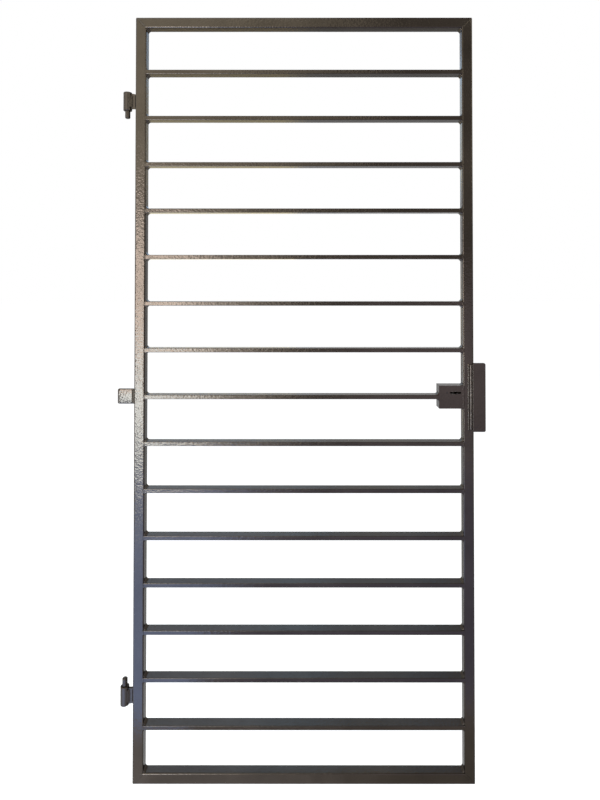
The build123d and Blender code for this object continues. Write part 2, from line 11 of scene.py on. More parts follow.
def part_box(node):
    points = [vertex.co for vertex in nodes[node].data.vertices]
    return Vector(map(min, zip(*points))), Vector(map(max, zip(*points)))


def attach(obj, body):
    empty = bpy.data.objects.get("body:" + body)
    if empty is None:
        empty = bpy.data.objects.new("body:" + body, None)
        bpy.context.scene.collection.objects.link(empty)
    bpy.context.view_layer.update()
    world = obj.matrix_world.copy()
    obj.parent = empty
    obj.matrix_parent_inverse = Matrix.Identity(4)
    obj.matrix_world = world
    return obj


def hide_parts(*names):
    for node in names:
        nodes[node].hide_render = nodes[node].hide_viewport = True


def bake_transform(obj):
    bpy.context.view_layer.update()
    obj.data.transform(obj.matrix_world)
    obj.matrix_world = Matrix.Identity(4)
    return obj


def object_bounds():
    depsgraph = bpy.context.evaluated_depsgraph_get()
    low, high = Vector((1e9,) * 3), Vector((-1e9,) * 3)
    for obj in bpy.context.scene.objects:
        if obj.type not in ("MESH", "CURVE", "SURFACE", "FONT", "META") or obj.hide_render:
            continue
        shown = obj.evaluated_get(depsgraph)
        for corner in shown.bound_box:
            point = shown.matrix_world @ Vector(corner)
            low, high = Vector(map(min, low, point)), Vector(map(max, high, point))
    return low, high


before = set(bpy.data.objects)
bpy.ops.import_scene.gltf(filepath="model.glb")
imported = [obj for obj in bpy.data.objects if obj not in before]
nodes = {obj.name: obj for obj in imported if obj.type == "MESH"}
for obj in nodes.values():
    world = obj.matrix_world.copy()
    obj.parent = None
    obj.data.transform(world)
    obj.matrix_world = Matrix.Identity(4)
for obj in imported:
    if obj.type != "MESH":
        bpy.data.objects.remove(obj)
cad_low, cad_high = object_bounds()

MM = 0.001
LEAF = "leaf"
# Whole numbers in a node tree are the same when they are this close
SAME_NUMBER = 0.1
X, Y, Z = Vector((1, 0, 0)), Vector((0, 1, 0)), Vector((0, 0, 1))

# Node helpers


def put(tree, kind, inputs=None, **settings):
    """Adds one node; each input is a plain value or another node's socket."""
    made = tree.nodes.new(kind)
    for name, value in settings.items():
        setattr(made, name, value)
    for name, value in (inputs or {}).items():
        socket = made.inputs[name]
        if isinstance(value, bpy.types.NodeSocket):
            tree.links.new(value, socket)
        else:
            socket.default_value = value
    return made


def calc(tree, operation, *values):
    """One Math node of a shader or geometry tree, as its output socket."""
    made = tree.nodes.new("ShaderNodeMath")
    made.operation = operation
    for place, value in enumerate(values):
        if isinstance(value, bpy.types.NodeSocket):
            tree.links.new(value, made.inputs[place])
        else:
            made.inputs[place].default_value = value
    return made.outputs[0]


def new_geometry_tree(name, sizes):
    """A geometry tree with named inputs; sizes is a list of (name, socket type, default)."""
    tree = bpy.data.node_groups.new(name, "GeometryNodeTree")
    face = tree.interface
    face.new_socket("Geometry", in_out="INPUT", socket_type="NodeSocketGeometry")
    for label, kind, default in sizes:
        socket = face.new_socket(label, in_out="INPUT", socket_type=kind)
        if default is not None:
            socket.default_value = default
    face.new_socket("Geometry", in_out="OUTPUT", socket_type="NodeSocketGeometry")
    return tree


def end_tree(tree, geometry, finish):
    """Ends a geometry tree: the finish is set, and the result goes out."""
    painted = put(tree, "GeometryNodeSetMaterial", {"Geometry": geometry, "Material": finish})
    out = put(tree, "NodeGroupOutput")
    tree.links.new(painted.outputs[0], out.inputs[0])


# Object helpers


def add_object(name, data):
    """Puts a mesh, lamp or camera into the scene, at the origin."""
    made = bpy.data.objects.new(name, data)
    bpy.context.scene.collection.objects.link(made)
    return made


def mesh_of(body, name):
    """Turns an edited body into a plain mesh."""
    mesh = bpy.data.meshes.new(name)
    body.to_mesh(mesh)
    body.free()
    return mesh


def finished_mesh(thing, name):
    """The mesh of a thing with its modifiers applied; the thing itself goes."""
    graph = bpy.context.evaluated_depsgraph_get()
    mesh = bpy.data.meshes.new_from_object(thing.evaluated_get(graph))
    bpy.data.objects.remove(thing)
    mesh.name = name
    return mesh


def cut_away(thing, tool, name):
    """The mesh of a thing less the tool's; the thing itself goes."""
    cut = thing.modifiers.new("cut", "BOOLEAN")
    cut.operation, cut.object, cut.solver = "DIFFERENCE", tool, "EXACT"
    return finished_mesh(thing, name)


def grow(name, tree, sizes, start=None):
    """Runs a geometry tree on a start mesh and returns the result as a plain mesh object."""
    grower = add_object(name + "_grower", start or bpy.data.meshes.new(name + "_start"))
    modifier = grower.modifiers.new("grow", "NODES")
    modifier.node_group = tree
    by_name = {s.name: s.identifier for s in tree.interface.items_tree if s.in_out == "INPUT"}
    for label, value in sizes.items():
        modifier[by_name[label]] = value
    return add_object(name, finished_mesh(grower, name))


# A face counts as flat when one part of its normal is at least this long
FLAT = 0.9995
CREASE = math.radians(40.0)


def shade_rounded(mesh):
    """Smooth shading on rounded corners, flat shading on flats."""
    for face in mesh.polygons:
        face.use_smooth = max(abs(part) for part in face.normal) < FLAT
    mesh.set_sharp_from_angle(angle=CREASE)


def fit_piece(piece, body, slot, *replaced):
    """Hangs a finished piece on its body and hides the parts it stands for."""
    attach(piece, body)
    if replaced:
        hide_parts(*replaced)
    return piece


# Finishes


def new_finish(name):
    """A material with an empty shader, and the Object coordinates for its patterns."""
    finish = bpy.data.materials.new(name)
    finish.use_nodes = True
    tree = finish.node_tree
    tree.nodes.clear()
    out = put(tree, "ShaderNodeOutputMaterial")
    shader = put(tree, "ShaderNodeBsdfPrincipled")
    tree.links.new(shader.outputs["BSDF"], out.inputs["Surface"])
    place = put(tree, "ShaderNodeTexCoord").outputs["Object"]
    return finish, tree, shader, place


def two_tones(tree, factor, dark, light):
    """A colour between two tones by a 0 to 1 factor."""
    mix = put(tree, "ShaderNodeMix", {
        "Factor": factor, "A": (*dark, 1.0), "B": (*light, 1.0)}, data_type="RGBA")
    return mix.outputs["Result"]


def spread(tree, value, low, high, to_low=0.0, to_high=1.0):
    """A value carried from one range to another, clamped."""
    made = put(tree, "ShaderNodeMapRange", {
        "Value": value, "From Min": low, "From Max": high,
        "To Min": to_low, "To Max": to_high})
    return made.outputs["Result"]


def hammer_bronze_paint(name, dimple_strength, least_roughness, most_roughness):
    """Dark bronze hammer-finish paint: shallow dimples, fine flake, slow change of tone."""
    finish, tree, shader, place = new_finish(name)
    dimples = put(tree, "ShaderNodeTexVoronoi", {
        "Vector": place, "Scale": 240.0, "Smoothness": 0.7},
        feature="SMOOTH_F1").outputs["Distance"]
    peel = put(tree, "ShaderNodeTexNoise", {
        "Vector": place, "Scale": 430.0, "Detail": 2.0, "Roughness": 0.5}).outputs["Fac"]
    flake = put(tree, "ShaderNodeTexNoise", {
        "Vector": place, "Scale": 1100.0, "Detail": 1.0}).outputs["Fac"]
    cloud = put(tree, "ShaderNodeTexNoise", {
        "Vector": place, "Scale": 7.0, "Detail": 4.0, "Roughness": 0.6}).outputs["Fac"]

    tone = calc(tree, "ADD", calc(tree, "MULTIPLY", cloud, 0.6),
                calc(tree, "MULTIPLY", flake, 0.5))
    base = two_tones(tree, spread(tree, tone, 0.35, 0.75),
                     (0.0192, 0.0144, 0.0106), (0.0368, 0.0280, 0.0211))
    tree.links.new(base, shader.inputs["Base Color"])

    rough = calc(tree, "ADD", calc(tree, "MULTIPLY", cloud, 0.16),
                 calc(tree, "MULTIPLY", peel, 0.20))
    tree.links.new(spread(tree, rough, 0.12, 0.26, least_roughness, most_roughness),
                   shader.inputs["Roughness"])

    height = calc(tree, "ADD", calc(tree, "MULTIPLY", dimples, 0.8),
                  calc(tree, "MULTIPLY", peel, 0.35))
    bump = put(tree, "ShaderNodeBump", {
        "Height": height, "Strength": dimple_strength, "Distance": 0.0006})
    tree.links.new(bump.outputs["Normal"], shader.inputs["Normal"])
    shader.inputs["Metallic"].default_value = 0.88
    shader.inputs["Specular Tint"].default_value = (0.63, 0.63, 0.63, 1.0)
    return finish


def plated_steel():
    """Bright zinc plate, brushed along the bolt."""
    finish, tree, shader, place = new_finish("zinc_plated_steel")
    along = put(tree, "ShaderNodeMapping", {"Vector": place, "Scale": (40.0, 1600.0, 1600.0)})
    brush = put(tree, "ShaderNodeTexNoise", {
        "Vector": along.outputs["Vector"], "Scale": 1.0, "Detail": 3.0}).outputs["Fac"]
    spangle = put(tree, "ShaderNodeTexNoise", {
        "Vector": place, "Scale": 160.0, "Detail": 3.0}).outputs["Fac"]
    base = two_tones(tree, spread(tree, spangle, 0.35, 0.65),
                     (0.44, 0.44, 0.43), (0.60, 0.60, 0.57))
    tree.links.new(base, shader.inputs["Base Color"])
    tree.links.new(spread(tree, brush, 0.3, 0.7, 0.28, 0.46), shader.inputs["Roughness"])
    bump = put(tree, "ShaderNodeBump", {"Height": brush, "Strength": 0.15, "Distance": 0.0001})
    tree.links.new(bump.outputs["Normal"], shader.inputs["Normal"])
    shader.inputs["Metallic"].default_value = 1.0
    return finish


def lever_brass():
    """Stamped brass sheet with a dull, slightly browned face."""
    finish, tree, shader, place = new_finish("lever_brass")
    tarnish = put(tree, "ShaderNodeTexNoise", {
        "Vector": place, "Scale": 220.0, "Detail": 5.0}).outputs["Fac"]
    base = two_tones(tree, spread(tree, tarnish, 0.35, 0.7),
                     (0.47, 0.30, 0.09), (0.66, 0.47, 0.18))
    tree.links.new(base, shader.inputs["Base Color"])
    tree.links.new(spread(tree, tarnish, 0.3, 0.7, 0.42, 0.26), shader.inputs["Roughness"])
    bump = put(tree, "ShaderNodeBump", {"Height": tarnish, "Strength": 0.1, "Distance": 0.0001})
    tree.links.new(bump.outputs["Normal"], shader.inputs["Normal"])
    shader.inputs["Metallic"].default_value = 1.0
    return finish


def spring_steel():
    """Blued spring strip."""
    finish, tree, shader, place = new_finish("blued_spring_steel")
    bluing = put(tree, "ShaderNodeTexNoise", {
        "Vector": place, "Scale": 120.0, "Detail": 4.0}).outputs["Fac"]
    base = two_tones(tree, spread(tree, bluing, 0.35, 0.65),
                     (0.10, 0.11, 0.14), (0.22, 0.23, 0.26))
    tree.links.new(base, shader.inputs["Base Color"])
    tree.links.new(spread(tree, bluing, 0.3, 0.7, 0.24, 0.38), shader.inputs["Roughness"])
    shader.inputs["Metallic"].default_value = 1.0
    return finish


def painted_shade_steel():
    """Near-black turned steel with little specular: painted shade, so the lever post's end in its
    hole looks dark.
    """
    finish, tree, shader, place = new_finish("painted_shade_steel")
    painted_shade_tone = put(tree, "ShaderNodeTexNoise", {
        "Vector": place, "Scale": 300.0, "Detail": 3.0}).outputs["Fac"]
    base = two_tones(tree, spread(tree, painted_shade_tone, 0.35, 0.65),
                     (0.008, 0.008, 0.009), (0.022, 0.021, 0.021))
    tree.links.new(base, shader.inputs["Base Color"])
    tree.links.new(spread(tree, painted_shade_tone, 0.3, 0.7, 0.50, 0.70), shader.inputs["Roughness"])
    shader.inputs["Specular IOR Level"].default_value = 0.12
    return finish


paint = hammer_bronze_paint(
    "hammer_bronze_paint", dimple_strength=0.62, least_roughness=0.14, most_roughness=0.21)
hinge_paint = hammer_bronze_paint(
    "satin_bronze_paint", dimple_strength=0.35, least_roughness=0.36, most_roughness=0.44)
finish_of_slot = {
    "bronze_paint": paint,
    "plated_steel": plated_steel(),
    "lever_brass": lever_brass(),
    "spring_steel": spring_steel(),
}
for node in nodes.values():
    for place in node.material_slots:
        place.material = finish_of_slot[place.material.name]
# The lever posts get near-black steel as painted shade for the hole around their ends.
nodes["lever_posts"].material_slots[0].material = painted_shade_steel()
for level in ("upper", "lower"):
    for part in ("barrel", "pin", "plate"):
        nodes[f"{level}_hinge_{part}"].material_slots[0].material = hinge_paint

# Frame tubes


def corner_file():
    """Four prisms that round the frame's outer corners, seen from the front, as a file would.
    Their arcs are a little wide, so that no sliver is left where they run out."""
    radius, wide, spare, steps = 5.0 * MM, 1.01, 2.0 * MM, 8
    low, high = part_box("hinge_stile")[0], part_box("lock_stile")[1]
    outline = [(-spare, radius), (-spare, -spare), (radius, -spare)]
    for step in range(steps + 1):
        angle = math.pi / 2 * step / steps
        outline.append((radius - wide * radius * math.sin(angle),
                        radius - wide * radius * math.cos(angle)))
    body = bmesh.new()
    for side, way_x in ((low.x, 1), (high.x, -1)):
        for level, way_z in ((low.z, 1), (high.z, -1)):
            front, back = [
                [body.verts.new((side + way_x * x, depth, level + way_z * z)) for x, z in outline]
                for depth in (low.y - spare, high.y + spare)]
            body.faces.new(front)
            body.faces.new(back[::-1])
            for k in range(len(outline)):
                body.faces.new((front[k - 1], front[k], back[k], back[k - 1]))
    bmesh.ops.recalc_face_normals(body, faces=body.faces)
    return add_object("corner_file", mesh_of(body, "corner_file"))


def dress_tube(name, tool, along):
    """A copy of one frame tube with its outer corners rounded; along is the axis it runs on.
    Cuts across the tube keep the faces that the file touches short."""
    end_run, same_point = 30.0 * MM, 0.001 * MM
    low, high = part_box(name)
    body = bmesh.new()
    body.from_mesh(nodes[name].data)
    bmesh.ops.remove_doubles(body, verts=body.verts, dist=same_point)
    for place in (low + end_run * along, high - end_run * along):
        bmesh.ops.bisect_plane(body, geom=body.verts[:] + body.edges[:] + body.faces[:],
                               plane_co=place, plane_no=along)
    rough = add_object(name + "_rough", mesh_of(body, name + "_rough"))
    mesh = cut_away(rough, tool, name + "_tube")
    shade_rounded(mesh)
    mesh.materials.clear()
    mesh.materials.append(paint)
    return fit_piece(add_object(name + "_tube", mesh), LEAF, "bronze_paint", name)


def make_frame_tubes():
    """The two stiles and the two rails."""
    tool = corner_file()
    for name, along in (("hinge_stile", Z), ("lock_stile", Z), ("top_rail", X), ("bottom_rail", X)):
        dress_tube(name, tool, along)
    bpy.data.objects.remove(tool)


make_frame_tubes()

# Security tab


def make_tab_plate():
    """The security tab as cut plate: rounded free corners, and edges rounded by the thick paint."""
    corner, corner_steps = 4.0 * MM, 8
    edge, edge_steps = 2.5 * MM, 5
    near = 0.1 * MM
    low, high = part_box("security_tab")
    body = bmesh.new()
    bmesh.ops.create_cube(body, size=1.0, matrix=Matrix.Translation((low + high) / 2)
                          @ Matrix.Diagonal((*(high - low), 1.0)))

    def middle_of(line):
        return (line.verts[0].co + line.verts[1].co) / 2

    def round_off(lines, radius, steps):
        bmesh.ops.bevel(body, geom=lines, offset=radius, offset_type="OFFSET", affect="EDGES",
                        segments=steps, profile=0.5, clamp_overlap=False)

    free_corners = [line for line in body.edges
                    if middle_of(line).x < low.x + near and abs(middle_of(line).y) < near]
    round_off(free_corners, corner, corner_steps)
    face_edges = [line for line in body.edges
                  if abs(middle_of(line).y) > high.y - near and middle_of(line).x < high.x - near]
    round_off(face_edges, edge, edge_steps)
    mesh = mesh_of(body, "security_tab_plate")
    shade_rounded(mesh)
    mesh.materials.append(paint)
    return fit_piece(add_object("security_tab_plate", mesh), LEAF, "bronze_paint", "security_tab")


make_tab_plate()

# Bars

BAR_NODES = [f"bar_{number:02d}" for number in range(1, 16)]


def smooth_corners(tree, geometry):
    """Smooth shading on the rounded corners, flat shading on the flats."""
    facing = put(tree, "ShaderNodeVectorMath", {
        0: put(tree, "GeometryNodeInputNormal").outputs[0]}, operation="ABSOLUTE")
    parts = put(tree, "ShaderNodeSeparateXYZ", {0: facing.outputs[0]}).outputs
    widest = calc(tree, "MAXIMUM", parts[0], calc(tree, "MAXIMUM", parts[1], parts[2]))
    on_corner = calc(tree, "LESS_THAN", widest, FLAT)
    return put(tree, "GeometryNodeSetShadeSmooth", {
        "Geometry": geometry, "Shade Smooth": on_corner}).outputs[0]


def bar_row_tree():
    """Flat-tube bars, one under the other; the lock's bar stops at the lock box."""
    tree = new_geometry_tree("bar_row", [
        ("Bars", "NodeSocketInt", 15), ("Pitch", "NodeSocketFloat", 0.11),
        ("Top bar", "NodeSocketFloat", 1.45), ("Left end", "NodeSocketFloat", 0.0),
        ("Right end", "NodeSocketFloat", 0.8), ("Lock bar", "NodeSocketInt", 7),
        ("Lock bar end", "NodeSocketFloat", 0.7), ("Depth", "NodeSocketFloat", 0.025),
        ("Height", "NodeSocketFloat", 0.01), ("Corner", "NodeSocketFloat", 0.002),
        ("Corner steps", "NodeSocketInt", 5), ("Paint", "NodeSocketMaterial", None)])
    given = put(tree, "NodeGroupInput").outputs
    outline = put(tree, "GeometryNodeCurvePrimitiveQuadrilateral", {
        "Width": given["Height"], "Height": given["Depth"]})
    rounded = put(tree, "GeometryNodeFilletCurve", {
        "Curve": outline.outputs[0], "Count": given["Corner steps"],
        "Radius": given["Corner"]}, mode="POLY")
    length = calc(tree, "SUBTRACT", given["Right end"], given["Left end"])
    reach = put(tree, "ShaderNodeCombineXYZ", {"Z": length})
    path = put(tree, "GeometryNodeCurvePrimitiveLine", {"End": reach.outputs[0]})
    tube = put(tree, "GeometryNodeCurveToMesh", {
        "Curve": path.outputs[0], "Profile Curve": rounded.outputs[0], "Fill Caps": True})
    level = put(tree, "GeometryNodeTransform", {
        "Geometry": tube.outputs[0], "Rotation": (0.0, math.pi / 2, 0.0)})
    first = put(tree, "ShaderNodeCombineXYZ", {"X": given["Left end"], "Z": given["Top bar"]})
    down = put(tree, "ShaderNodeCombineXYZ", {"Z": calc(tree, "MULTIPLY", given["Pitch"], -1.0)})
    places = put(tree, "GeometryNodeMeshLine", {
        "Count": given["Bars"], "Start Location": first.outputs[0], "Offset": down.outputs[0]})
    number = put(tree, "GeometryNodeInputIndex")
    at_lock = calc(tree, "COMPARE", number.outputs[0], given["Lock bar"], SAME_NUMBER)
    share = calc(tree, "DIVIDE",
                 calc(tree, "SUBTRACT", given["Lock bar end"], given["Left end"]), length)
    shorter = calc(tree, "SUBTRACT", 1.0, calc(
        tree, "MULTIPLY", at_lock, calc(tree, "SUBTRACT", 1.0, share)))
    stretch = put(tree, "ShaderNodeCombineXYZ", {"X": shorter, "Y": 1.0, "Z": 1.0})
    bars = put(tree, "GeometryNodeInstanceOnPoints", {
        "Points": places.outputs[0], "Instance": level.outputs[0], "Scale": stretch.outputs[0]})
    solid = put(tree, "GeometryNodeRealizeInstances", {"Geometry": bars.outputs[0]})
    end_tree(tree, smooth_corners(tree, solid.outputs[0]), given["Paint"])
    return tree


def make_bars():
    """All fifteen bars, with crisper edges than the frame tubes."""
    corner, corner_steps = 1.1 * MM, 5
    boxes = [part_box(name) for name in BAR_NODES]
    low, high = boxes[0]
    lock_bar = min(range(len(boxes)), key=lambda number: boxes[number][1].x)
    bars = grow("bars", bar_row_tree(), {
        "Bars": len(boxes), "Pitch": low.z - boxes[1][0].z, "Top bar": (low.z + high.z) / 2,
        "Left end": low.x, "Right end": high.x, "Lock bar": lock_bar,
        "Lock bar end": boxes[lock_bar][1].x, "Depth": high.y - low.y,
        "Height": high.z - low.z, "Corner": corner, "Corner steps": corner_steps, "Paint": paint})
    return fit_piece(bars, LEAF, "bronze_paint", *BAR_NODES)


make_bars()

# Weld beads


def weld_bead_tree(name, flush):
    """Weld beads with overlapping ripples and rounded ends, one at each seam point.
    A bead lies along its own Y. A fillet bead is concave, with its legs along its own X and Z;
    a flush bead fills a butt seam, half as wide as Leg X to each side and Leg Z high."""
    tree = new_geometry_tree(name, [
        ("Length", "NodeSocketFloat", 0.02), ("Leg X", "NodeSocketFloat", 0.006),
        ("Leg Z", "NodeSocketFloat", 0.006), ("Hollow", "NodeSocketFloat", 1.434),
        ("Lean", "NodeSocketFloat", 0.0),
        ("Ripple pitch", "NodeSocketFloat", 0.0024), ("Ripple height", "NodeSocketFloat", 0.00025),
        ("Ripple bow", "NodeSocketFloat", 0.0012), ("End run", "NodeSocketFloat", 0.002),
        ("Rows", "NodeSocketInt", 40), ("Face points", "NodeSocketInt", 8),
        ("Unevenness", "NodeSocketFloat", 0.0003), ("Root", "NodeSocketFloat", 0.0006),
        ("Paint", "NodeSocketMaterial", None)])
    given = put(tree, "NodeGroupInput").outputs

    # A flat grid: its columns become the face, the hidden root and the column that closes the bead
    columns = calc(tree, "ADD", given["Face points"], 2.0)
    grid = put(tree, "GeometryNodeMeshGrid", {
        "Size X": 1.0, "Size Y": given["Length"],
        "Vertices X": columns, "Vertices Y": given["Rows"]})
    spot = put(tree, "ShaderNodeSeparateXYZ", {
        0: put(tree, "GeometryNodeInputPosition").outputs[0]}).outputs
    column = calc(tree, "ROUND", calc(tree, "MULTIPLY", calc(tree, "ADD", spot[0], 0.5),
                                      calc(tree, "SUBTRACT", columns, 1.0)))
    last = calc(tree, "SUBTRACT", given["Face points"], 1.0)
    at_root = calc(tree, "COMPARE", column, given["Face points"], SAME_NUMBER)
    at_close = calc(tree, "GREATER_THAN", column, calc(tree, "ADD", given["Face points"], 0.5))
    share = calc(tree, "MULTIPLY",
                 calc(tree, "MINIMUM", calc(tree, "DIVIDE", column, last), 1.0),
                 calc(tree, "SUBTRACT", 1.0, at_close))
    rest = calc(tree, "SUBTRACT", 1.0, share)

    # Rounded ends: the bead swells to its full size over the end run
    along = spot[1]
    from_end = calc(tree, "SUBTRACT", calc(tree, "MULTIPLY", given["Length"], 0.5),
                    calc(tree, "ABSOLUTE", along))
    short = calc(tree, "SUBTRACT", 1.0, calc(
        tree, "MINIMUM", calc(tree, "DIVIDE", from_end, given["End run"]), 1.0))
    swell = calc(tree, "SQRT", calc(tree, "MAXIMUM", calc(
        tree, "SUBTRACT", 1.0, calc(tree, "MULTIPLY", short, short)), 0.0))

    # The face's section, and ripples that bow along the bead
    middle = calc(tree, "SINE", calc(tree, "MULTIPLY", share, math.pi))
    if flush:
        face_x = calc(tree, "MULTIPLY", given["Leg X"], calc(tree, "SUBTRACT", rest, share))
        face_z = calc(tree, "MULTIPLY", given["Leg Z"], middle)
    else:
        face_x = calc(tree, "MULTIPLY", given["Leg X"],
                      calc(tree, "POWER", rest, given["Hollow"]))
        face_z = calc(tree, "MULTIPLY", given["Leg Z"],
                      calc(tree, "POWER", share, given["Hollow"]))
    lag = calc(tree, "MULTIPLY", middle, given["Ripple bow"])
    wave = calc(tree, "SINE", calc(tree, "MULTIPLY", calc(
        tree, "DIVIDE", calc(tree, "ADD", along, lag), given["Ripple pitch"]), math.pi))
    ridge = calc(tree, "MULTIPLY", calc(tree, "ABSOLUTE", wave),
                 calc(tree, "MULTIPLY", middle, given["Ripple height"]))
    on_face = calc(tree, "SUBTRACT", 1.0, at_root)

    def section(face, rippled):
        """One side of the bead's section: its face with ripples, or its hidden root."""
        raised = calc(tree, "ADD", face, ridge) if rippled else face
        shown = calc(tree, "MULTIPLY", raised, on_face)
        sunk = calc(tree, "MULTIPLY", given["Root"], at_root)
        deep = calc(tree, "SUBTRACT", shown, sunk) if rippled else shown
        return calc(tree, "MULTIPLY", deep, swell)

    rise = section(face_z, True)
    reach = calc(tree, "SUBTRACT", section(face_x, not flush),
                 calc(tree, "MULTIPLY", rise, given["Lean"]))
    shape = put(tree, "ShaderNodeCombineXYZ", {"X": reach, "Y": along, "Z": rise})
    bent = put(tree, "GeometryNodeSetPosition", {
        "Geometry": grid.outputs["Mesh"], "Position": shape.outputs[0]})
    closed = put(tree, "GeometryNodeMergeByDistance", {
        "Geometry": bent.outputs[0], "Distance": 0.00001})
    outward = put(tree, "GeometryNodeFlipFaces", {"Mesh": closed.outputs[0]})

    # One bead at each seam point, made a little uneven
    turn = put(tree, "GeometryNodeInputNamedAttribute", {"Name": "turn"}, data_type="FLOAT_VECTOR")
    spin = put(tree, "FunctionNodeEulerToRotation", {0: turn.outputs[0]})
    beads = put(tree, "GeometryNodeInstanceOnPoints", {
        "Points": given["Geometry"], "Instance": outward.outputs[0], "Rotation": spin.outputs[0]})
    solid = put(tree, "GeometryNodeRealizeInstances", {"Geometry": beads.outputs[0]})
    wander = put(tree, "ShaderNodeTexNoise", {"Scale": 170.0, "Detail": 1.0})
    shift = put(tree, "ShaderNodeVectorMath", {
        0: wander.outputs["Color"], 1: (0.5, 0.5, 0.5)}, operation="SUBTRACT")
    nudge = put(tree, "ShaderNodeVectorMath", {
        0: shift.outputs[0], "Scale": given["Unevenness"]}, operation="SCALE")
    handmade = put(tree, "GeometryNodeSetPosition", {
        "Geometry": solid.outputs[0], "Offset": nudge.outputs[0]})
    smooth = put(tree, "GeometryNodeSetShadeSmooth", {"Geometry": handmade.outputs[0]})
    end_tree(tree, smooth.outputs[0], given["Paint"])
    return tree


def seam_points(name, seams):
    """A mesh of one point a seam; seams are (middle, direction of leg X, direction of leg Z)."""
    mesh = bpy.data.meshes.new(name + "_seams")
    mesh.from_pydata([middle for middle, _, _ in seams], [], [])
    turn = mesh.attributes.new("turn", "FLOAT_VECTOR", "POINT")
    for number, (_, leg_x, leg_z) in enumerate(seams):
        axes = Matrix((leg_x, leg_z.cross(leg_x), leg_z)).transposed()
        turn.data[number].vector = axes.to_euler("XYZ")
    return mesh


fillet_bead = weld_bead_tree("fillet_bead", flush=False)
flush_bead = weld_bead_tree("flush_bead", flush=True)


def lay_beads(name, tree, seams, length, leg_x, leg_z, replaced=(), **more):
    """Lays the same bead along every seam and hangs it on the leaf. More sizes are named as the
    tree's inputs are, in small letters."""
    pitch, rows_a_ripple = 2.4 * MM, 4
    rows = 2 * round(length / pitch * rows_a_ripple / 2) + 1
    sizes = {"Length": length, "Leg X": leg_x, "Leg Z": leg_z, "Ripple pitch": pitch,
             "Rows": rows, "Paint": paint}
    sizes.update({label.replace("_", " ").capitalize(): value for label, value in more.items()})
    beads = grow(name, tree, sizes, seam_points(name, seams))
    return fit_piece(beads, LEAF, "bronze_paint", *replaced)


def join_beads(name, finish, *parts):
    """Makes one piece of several beads that stand for the same weld."""
    whole = bmesh.new()
    for part in parts:
        whole.from_mesh(part.data)
    mesh = mesh_of(whole, name)
    mesh.materials.append(finish)
    for part in parts:
        bpy.data.objects.remove(part)
    return add_object(name, mesh)


def bar_end_seams():
    """Above and below both ends of every bar, across the depth of the leaf."""
    seams = []
    for name in BAR_NODES:
        low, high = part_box(name)
        for end, inward in ((low.x, X), (high.x, -X)):
            seams.append((Vector((end, 0, high.z)), inward, Z))
            seams.append((Vector((end, 0, low.z)), inward, -Z))
    return seams


def frame_corner_seams():
    """In the four inner corners of the frame."""
    left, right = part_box("hinge_stile")[1].x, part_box("lock_stile")[0].x
    top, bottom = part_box("top_rail")[0].z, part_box("bottom_rail")[1].z
    return [(Vector((side, 0, level)), inward, way)
            for side, inward in ((left, X), (right, -X))
            for level, way in ((top, -Z), (bottom, Z))]


def lock_box_seams():
    """Above and below the lock box, where it meets the lock stile."""
    low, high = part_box("lock_box_shell")
    return [(Vector((high.x, 0, high.z)), -X, Z), (Vector((high.x, 0, low.z)), -X, -Z)]


def security_tab_seams():
    """In front of and behind the tab, down the hinge stile."""
    low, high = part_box("security_tab")
    middle = (low.z + high.z) / 2
    return [(Vector((high.x, high.y, middle)), -X, Y), (Vector((high.x, low.y, middle)), -X, -Y)]


def guard_plate_seam():
    """Down the left edge of the guard plate, on the front of the lock stile."""
    low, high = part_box("guard_plate")
    return [(Vector((low.x, high.y, (low.z + high.z) / 2)), -X, -Y)]


def guard_plate_toe_seam():
    """Beside the guard plate's bead: its second pass, flat on the front of the lock stile."""
    beside = 8.6 * MM
    low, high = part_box("guard_plate")
    return [(Vector((low.x - beside, high.y, (low.z + high.z) / 2)), X, -Y)]


def hinge_plate_seams(level):
    """Both sides of a hinge plate: down the hinge stile, and down the barrel."""
    low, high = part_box(level + "_hinge_plate")
    weld_low, weld_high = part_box(level + "_hinge_welds")
    middle = (weld_low.z + weld_high.z) / 2
    at_stile = [(Vector((high.x, high.y, middle)), -X, Y),
                (Vector((high.x, low.y, middle)), -X, -Y)]
    at_barrel = [(Vector((low.x, high.y, middle)), X, Y),
                 (Vector((low.x, low.y, middle)), X, -Y)]
    return at_stile, at_barrel, weld_high.z - weld_low.z


# How far inside a stile's rounded edge a seam on its face lies
SEAM_INSIDE = 1.2 * MM


def bar_face_seams():
    """Where the bars' front and back faces meet the rounded edges of the stiles; the bar that
    stops at the lock box has none there."""
    left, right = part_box("hinge_stile")[1].x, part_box("lock_stile")[0].x
    seams = []
    for name in BAR_NODES:
        low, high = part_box(name)
        level = (low.z + high.z) / 2
        for end, stile, way in ((low.x, left, -1), (high.x, right, 1)):
            if abs(end - stile) > MM:
                continue
            place = end + way * SEAM_INSIDE
            seams.append((Vector((place, low.y, level)), X, -Y))
            seams.append((Vector((place, high.y, level)), X, Y))
    return seams


def lock_box_face_seam():
    """Down the front, where the lock box meets the rounded edge of the lock stile."""
    low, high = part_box("lock_box_shell")
    return [(Vector((high.x + SEAM_INSIDE, low.y, (low.z + high.z) / 2)), X, -Y)]


def mitre_seams():
    """Across the mitred corners, on the front and the back of the frame."""
    low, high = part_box("hinge_stile")[0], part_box("lock_stile")[1]
    half = (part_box("hinge_stile")[1].x - low.x) / 2
    seams = []
    for side, turn_x in ((low.x + half, 1), (high.x - half, -1)):
        for level, turn_z in ((high.z - half, 1), (low.z + half, -1)):
            across = Vector((turn_x, 0, turn_z)).normalized()
            seams.append((Vector((side, low.y, level)), across, -Y))
            seams.append((Vector((side, high.y, level)), across, Y))
    return seams


